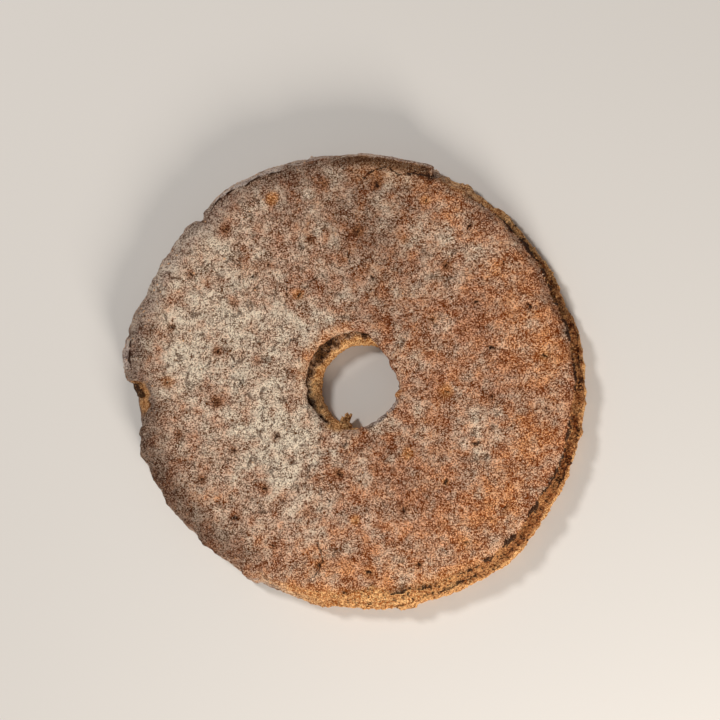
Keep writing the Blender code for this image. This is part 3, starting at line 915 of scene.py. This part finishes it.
class Nodes:
    """Short names for building one material's nodes."""

    def __init__(self, name):
        self.material = bpy.data.materials.new(name)
        self.material.use_nodes = True
        self.tree = self.material.node_tree
        self.shader = self.tree.nodes["Principled BSDF"]

    def put(self, target, value):
        if isinstance(value, bpy.types.NodeSocket):
            self.tree.links.new(value, target)
        else:
            target.default_value = value

    def place(self):
        if not hasattr(self, "coordinates"):
            self.coordinates = self.tree.nodes.new("ShaderNodeTexCoord").outputs["Object"]
        return self.coordinates

    def noise(self, size, detail=2.0, roughness=0.5, distortion=0.0):
        """Noise with lumps of about that many millimetres."""
        node = self.tree.nodes.new("ShaderNodeTexNoise")
        self.put(node.inputs["Vector"], self.place())
        node.inputs["Scale"].default_value = 1000.0 / size
        node.inputs["Detail"].default_value = detail
        node.inputs["Roughness"].default_value = roughness
        node.inputs["Distortion"].default_value = distortion
        return node.outputs["Fac"]

    def sand(self, size):
        """Packed grains about that many millimetres wide: each one's random tone, and the gaps round them."""
        node = self.tree.nodes.new("ShaderNodeTexVoronoi")
        self.put(node.inputs["Vector"], self.place())
        node.inputs["Scale"].default_value = 1000.0 / size
        parts = self.tree.nodes.new("ShaderNodeSeparateColor")
        self.put(parts.inputs[0], node.outputs["Color"])
        return parts.outputs[0], node.outputs["Distance"]

    def cracks(self, size, width):
        """Thin wandering lines, longer along the loaf's Y than across it: 1 on a line and 0 off it."""
        bent = self.tree.nodes.new("ShaderNodeTexNoise")
        self.put(bent.inputs["Vector"], self.place())
        bent.inputs["Scale"].default_value = 1000.0 / (0.9 * size)
        bent.inputs["Detail"].default_value = 3.0
        joined = self.tree.nodes.new("ShaderNodeVectorMath")
        joined.operation = "MULTIPLY_ADD"
        self.put(joined.inputs[0], bent.outputs["Color"])
        joined.inputs[1].default_value = (0.8 * size * MM, 0.8 * size * MM, 0.8 * size * MM)
        self.put(joined.inputs[2], self.place())
        drawn = self.tree.nodes.new("ShaderNodeVectorMath")
        drawn.operation = "MULTIPLY"
        self.put(drawn.inputs[0], joined.outputs[0])
        drawn.inputs[1].default_value = (1.0, 0.6, 1.0)
        node = self.tree.nodes.new("ShaderNodeTexVoronoi")
        node.feature = "DISTANCE_TO_EDGE"
        self.put(node.inputs["Vector"], drawn.outputs[0])
        node.inputs["Scale"].default_value = 1000.0 / size
        return self.span(node.outputs["Distance"], 0.3 * width / size, width / size, 1.0, 0.0)

    def field(self, name):
        node = self.tree.nodes.new("ShaderNodeAttribute")
        node.attribute_name = name
        return node.outputs["Fac"]

    def math(self, operation, one, other=0.0, clamp=False):
        node = self.tree.nodes.new("ShaderNodeMath")
        node.operation = operation
        node.use_clamp = clamp
        self.put(node.inputs[0], one)
        self.put(node.inputs[1], other)
        return node.outputs[0]

    def span(self, value, low, high, start=0.0, end=1.0):
        """Maps low to high onto start to end, smoothly and clamped."""
        node = self.tree.nodes.new("ShaderNodeMapRange")
        node.interpolation_type = "SMOOTHSTEP"
        for socket, number in zip(node.inputs, (value, low, high, start, end)):
            self.put(socket, number)
        return node.outputs[0]

    def spread(self, value, low, high):
        """Maps low to high onto 0 to 1 in a straight line, clamped."""
        node = self.tree.nodes.new("ShaderNodeMapRange")
        for socket, number in zip(node.inputs, (value, low, high)):
            self.put(socket, number)
        return node.outputs[0]

    def mix(self, share, one, other):
        node = self.tree.nodes.new("ShaderNodeMix")
        node.data_type = "RGBA"
        for name, value in (("Factor_Float", share), ("A_Color", one), ("B_Color", other)):
            socket = next(s for s in node.inputs if s.identifier == name)
            self.put(socket, value)
        return next(s for s in node.outputs if s.identifier == "Result_Color")

    def bump(self, height, distance, strength):
        node = self.tree.nodes.new("ShaderNodeBump")
        node.inputs["Strength"].default_value = strength
        node.inputs["Distance"].default_value = distance * MM
        self.put(node.inputs["Height"], height)
        return node.outputs[0]


def colour(red, green, blue):
    """A colour given as it looks on a screen, 0 to 255, as light."""
    shares = [value / 255.0 for value in (red, green, blue)]
    return (*(s / 12.92 if s <= 0.04045 else ((s + 0.055) / 1.055) ** 2.4 for s in shares), 1.0)


def crust_tones(n):
    """Darkest and lightest colour of the crust at each place, and its flour."""
    flour, baked_and_warm_lit, dark = (n.field(name) for name in ("flour", "baked_and_warm_lit", "dark"))
    crumb, crevice, lip, side = (n.field(name) for name in ("crumb", "crevice", "lip", "side"))
    gold, halo, edge = (n.field(name) for name in ("gold", "halo", "edge"))
    stray = n.math("SUBTRACT", n.noise(10.0, 4.0, 0.7), 0.5)
    spots = n.math("SUBTRACT", n.noise(6.0, 3.0, 0.6, 0.6), 0.5)
    flour = n.math("ADD", flour, n.math("MULTIPLY", stray, 2.2))
    flour = n.math("SUBTRACT", flour, n.math("MULTIPLY", halo, 0.7), clamp=True)
    baked_and_warm_lit = n.math("ADD", baked_and_warm_lit, n.math("MULTIPLY", stray, -1.5), clamp=True)
    dark = n.math("ADD", dark, n.math("MULTIPLY", spots, 1.3), clamp=True)
    torn_low = n.mix(dark, colour(156, 88, 36), colour(78, 33, 8))
    torn_high = n.mix(dark, colour(255, 208, 146), colour(152, 86, 40))
    low, high = colour(100, 45, 12), colour(218, 168, 138)
    steps = (
        (dark, colour(66, 28, 8), colour(142, 99, 76)),
        # Redder where more baked, and painted warm light on the right half
        (baked_and_warm_lit, colour(124, 56, 13), colour(244, 178, 124)),
        (flour, colour(90, 54, 21), colour(243, 229, 209)),
        # The side's lavender grey: partly flour, partly painted cool light, most of it on the left rim
        (n.math("MULTIPLY", side, 0.75), colour(100, 84, 82), colour(198, 182, 178)),
        (edge, colour(42, 24, 16), colour(100, 70, 55)),
        (n.math("MULTIPLY", halo, 0.85), colour(62, 34, 18), colour(164, 110, 70)),
        # gold: golden crust, and on the bottom side painted warm light too
        (n.math("MULTIPLY", gold, 0.8), colour(154, 88, 36), colour(252, 200, 144)),
        (n.math("MULTIPLY", lip, 0.9), colour(150, 92, 44), colour(252, 202, 138)),
        (crumb, torn_low, torn_high),
        # crevice: near black painted shade inside the recess, its lighter brown the crumb
        (crevice, colour(24, 16, 9), colour(104, 68, 38)),
    )
    for share, darkest, lightest in steps:
        low, high = n.mix(share, low, darkest), n.mix(share, high, lightest)
    return low, high, flour


def crust_material():
    n = Nodes("floury_rye_crust")
    tone, gap = n.sand(0.65)
    fine = n.noise(0.43, 1.0, 0.5)
    lumps = n.noise(0.85, 1.0, 0.5)
    coarse = n.noise(2.6, 2.0, 0.6)
    low, high, flour = crust_tones(n)
    speck = n.math("ADD", n.math("MULTIPLY", tone, 0.5), n.math("MULTIPLY", fine, 0.6))
    speck = n.math("ADD", speck, n.math("MULTIPLY", coarse, 0.15))
    # Painted shade: darker in the gaps between the packed grains
    speck = n.math("SUBTRACT", speck, n.math("MULTIPLY", n.span(gap, 0.4, 0.8), 0.3))
    speck = n.math("ADD", speck, n.math("MULTIPLY", n.math("SUBTRACT", flour, 0.45), 0.14))
    mottle = n.math("SUBTRACT", n.noise(4.2, 3.0, 0.6), 0.5)
    speck = n.math("ADD", speck, n.math("MULTIPLY", mottle, 0.42))
    cloud = n.math("SUBTRACT", n.noise(11.0, 2.0, 0.5), 0.5)
    speck = n.math("ADD", speck, n.math("MULTIPLY", cloud, 0.5))
    surface = n.mix(n.spread(speck, 0.36, 0.72), low, high)
    # Painted shade in the pores of the open crumb
    pore_shade = n.math("MULTIPLY", n.span(n.sand(1.9)[1], 0.2, 0.42, 1.0, 0.0), n.field("crumb"))
    surface = n.mix(n.math("MULTIPLY", pore_shade, 0.8), surface, colour(50, 28, 16))
    # Painted shade along hairline cracks in the floury part of the face
    shade_line = n.math("MULTIPLY", n.cracks(7.0, 0.9), n.span(n.noise(7.0, 2.0), 0.5, 0.62))
    shade_line = n.math("MULTIPLY", shade_line, n.span(flour, 0.2, 0.6))
    surface = n.mix(n.math("MULTIPLY", shade_line, 0.75), surface, colour(78, 48, 30))
    # Painted shade: near black where the dock holes, cracks, gaps, slot, crease and pores lie, for the shade
    # inside them
    pit_shade = n.math("ADD", n.field("pit_shade"), n.math("MULTIPLY", n.math("SUBTRACT", fine, 0.5), 0.7))
    surface = n.mix(n.math("MULTIPLY", n.span(pit_shade, 0.28, 0.6), 0.92), surface, colour(42, 22, 11))
    n.put(n.shader.inputs["Base Color"], surface)
    n.shader.inputs["Roughness"].default_value = 0.92
    n.shader.inputs["Specular IOR Level"].default_value = 0.15
    height = n.math("ADD", n.math("MULTIPLY", speck, 0.7), n.math("MULTIPLY", lumps, 1.2))
    height = n.math("SUBTRACT", height, n.math("MULTIPLY", shade_line, 0.35))
    n.put(n.shader.inputs["Normal"], n.bump(height, 0.38, 1.0))
    return n.material


def grain_material(name, darkest, lightest, follow):
    """Grains in their own tones, taking on the crust's lightest colour where they lie by the share given."""
    n = Nodes(name)
    _, high, _ = crust_tones(n)
    own = n.mix(n.field("tone"), darkest, lightest)
    n.put(n.shader.inputs["Base Color"], n.mix(follow, own, high))
    n.shader.inputs["Roughness"].default_value = 0.95
    n.shader.inputs["Specular IOR Level"].default_value = 0.2
    return n.material


def floor_material():
    n = Nodes("pale_floor")
    n.shader.inputs["Base Color"].default_value = (0.78, 0.77, 0.76, 1.0)
    n.shader.inputs["Roughness"].default_value = 0.85
    return n.material


def make_floor():
    form = bmesh.new()
    bmesh.ops.create_grid(form, x_segments=2, y_segments=2, size=FLOOR_REACH)
    bmesh.ops.translate(form, vec=(0.0, 0.0, -FLOOR_DROP), verts=form.verts)
    mesh = bpy.data.meshes.new("floor")
    form.to_mesh(mesh)
    form.free()
    floor = bpy.data.objects.new("floor", mesh)
    bpy.context.scene.collection.objects.link(floor)
    mesh.materials.append(floor_material())


def make_light(name, place, size, watts, tint):
    data = bpy.data.lights.new(name, "AREA")
    data.shape = "DISK"
    data.size = size
    data.energy = watts
    data.color = tint
    light = bpy.data.objects.new(name, data)
    light.location = place
    light.rotation_euler = (-Vector(place)).to_track_quat("-Z", "Y").to_euler()
    bpy.context.scene.collection.objects.link(light)


def make_camera():
    side, below = math.radians(CAMERA_SIDE), math.radians(CAMERA_BELOW)
    back = Vector((math.sin(side) * math.cos(below), -math.sin(below), math.cos(side) * math.cos(below)))
    up = (Vector((0, 1, 0)) - back * back.y).normalized()
    right = up.cross(back)
    data = bpy.data.cameras.new("camera")
    data.sensor_width = SENSOR_WIDTH
    data.lens = LENS
    data.clip_start = 0.01
    camera = bpy.data.objects.new("camera", data)
    turn = Matrix((right, up, back)).transposed().to_4x4()
    camera.matrix_world = Matrix.Translation(TARGET + back * CAMERA_AWAY) @ turn
    bpy.context.scene.collection.objects.link(camera)
    bpy.context.scene.camera = camera


def make_studio():
    make_floor()
    make_camera()
    make_light("key", (-0.82, 0.78, 1.5), 0.3, 15.2, (1.0, 0.95, 0.89))
    make_light("warm_fill", (0.48, -0.92, 0.46), 0.4, 11.8, (1.0, 0.92, 0.82))
    world = bpy.data.worlds.new("studio")
    world.use_nodes = True
    world.node_tree.nodes["Background"].inputs["Color"].default_value = (1.0, 0.94, 0.88, 1.0)
    world.node_tree.nodes["Background"].inputs["Strength"].default_value = 0.22
    bpy.context.scene.world = world
    bpy.context.scene.view_settings.view_transform = "Standard"


loaf = make_loaf()
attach(loaf, "root")
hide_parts("bread")
scatter_grains(loaf)
make_studio()
